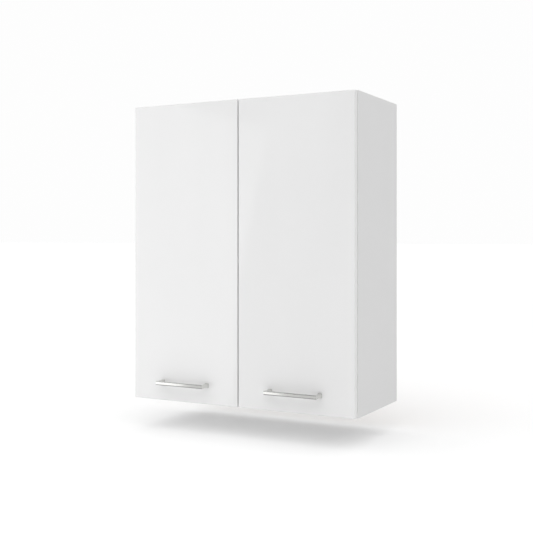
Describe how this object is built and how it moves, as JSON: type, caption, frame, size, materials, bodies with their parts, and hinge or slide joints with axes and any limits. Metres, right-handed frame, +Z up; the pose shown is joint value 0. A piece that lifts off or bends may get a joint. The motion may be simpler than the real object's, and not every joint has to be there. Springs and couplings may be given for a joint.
{
  "type": "hanging wall cabinet",
  "caption": "Hanging wall cabinet with side-hung overlay doors on concealed hinges, bar handles, shelves on pins and adjustable wall hangers.",
  "frame": {"origin": "on the wall plane, at the middle of the width, at the cabinet's bottom edge", "axes": "+X to the right seen from the front, +Y into the wall, +Z up; the doors face -Y"},
  "size_m": [0.6, 0.298, 0.736],
  "materials": {
    "melamine_board": "white melamine-faced chipboard, satin",
    "gloss_front": "high-gloss white foil on MDF",
    "back_board": "white lacquered hardboard",
    "edge_band": "white ABS edging",
    "brushed_nickel": "brushed nickel",
    "nickel_plate": "nickel plated",
    "zinc_casting": "raw zinc casting",
    "zinc_screw": "bright zinc plated",
    "galvanised_steel": "galvanised",
    "white_plastic": "moulded, satin",
    "clear_bumper": "clear soft polyurethane",
    "beech": "fluted beech"
  },
  "bodies": {
    "cabinet": {"back_panel": "back_board", "bottom_panel": "melamine_board", "cam_bolts": "zinc_screw", "cam_caps": "white_plastic", "cam_housings": "zinc_casting", "dowels": "beech", "edge_band_bottom": "edge_band", "edge_band_shelf_lower": "edge_band", "edge_band_shelf_upper": "edge_band", "edge_band_side_left": "edge_band", "edge_band_side_right": "edge_band", "edge_band_top": "edge_band", "hanger_cover_left": "white_plastic", "hanger_cover_right": "white_plastic", "hanger_hook_left": "galvanised_steel", "hanger_hook_right": "galvanised_steel", "hanger_housing_left": "white_plastic", "hanger_housing_right": "white_plastic", "hanger_screws": "zinc_screw", "hinge_arm_left_lower": "nickel_plate", "hinge_arm_left_upper": "nickel_plate", "hinge_arm_right_lower": "nickel_plate", "hinge_arm_right_upper": "nickel_plate", "hinge_arm_screws": "zinc_screw", "hinge_plate_left_lower": "nickel_plate", "hinge_plate_left_upper": "nickel_plate", "hinge_plate_right_lower": "nickel_plate", "hinge_plate_right_upper": "nickel_plate", "hinge_plate_screws": "zinc_screw", "shelf_lower": "melamine_board", "shelf_pins": "nickel_plate", "shelf_upper": "melamine_board", "side_panel_left": "melamine_board", "side_panel_right": "melamine_board", "top_panel": "melamine_board", "wall_plate_left": "galvanised_steel", "wall_plate_right": "galvanised_steel"},
    "left_door": {"door_bumpers_left": "clear_bumper", "door_left": "gloss_front", "handle_left": "brushed_nickel", "handle_screws_left": "zinc_screw", "hinge_cup_left_lower": "nickel_plate", "hinge_cup_left_upper": "nickel_plate", "hinge_cup_screws_left": "zinc_screw", "hinge_pins_left": "nickel_plate"},
    "right_door": {"door_bumpers_right": "clear_bumper", "door_right": "gloss_front", "handle_right": "brushed_nickel", "handle_screws_right": "zinc_screw", "hinge_cup_right_lower": "nickel_plate", "hinge_cup_right_upper": "nickel_plate", "hinge_cup_screws_right": "zinc_screw", "hinge_pins_right": "nickel_plate"}
  },
  "joints": [
    {"name": "left_door_hinge", "type": "hinge", "parent": "cabinet", "child": "left_door", "pos_m": [-0.293, -0.263, 0.368], "axis": [0, 0, -1], "range_deg": [0, 95]},
    {"name": "right_door_hinge", "type": "hinge", "parent": "cabinet", "child": "right_door", "pos_m": [0.293, -0.263, 0.368], "axis": [0, 0, 1], "range_deg": [0, 95]}
  ]
}
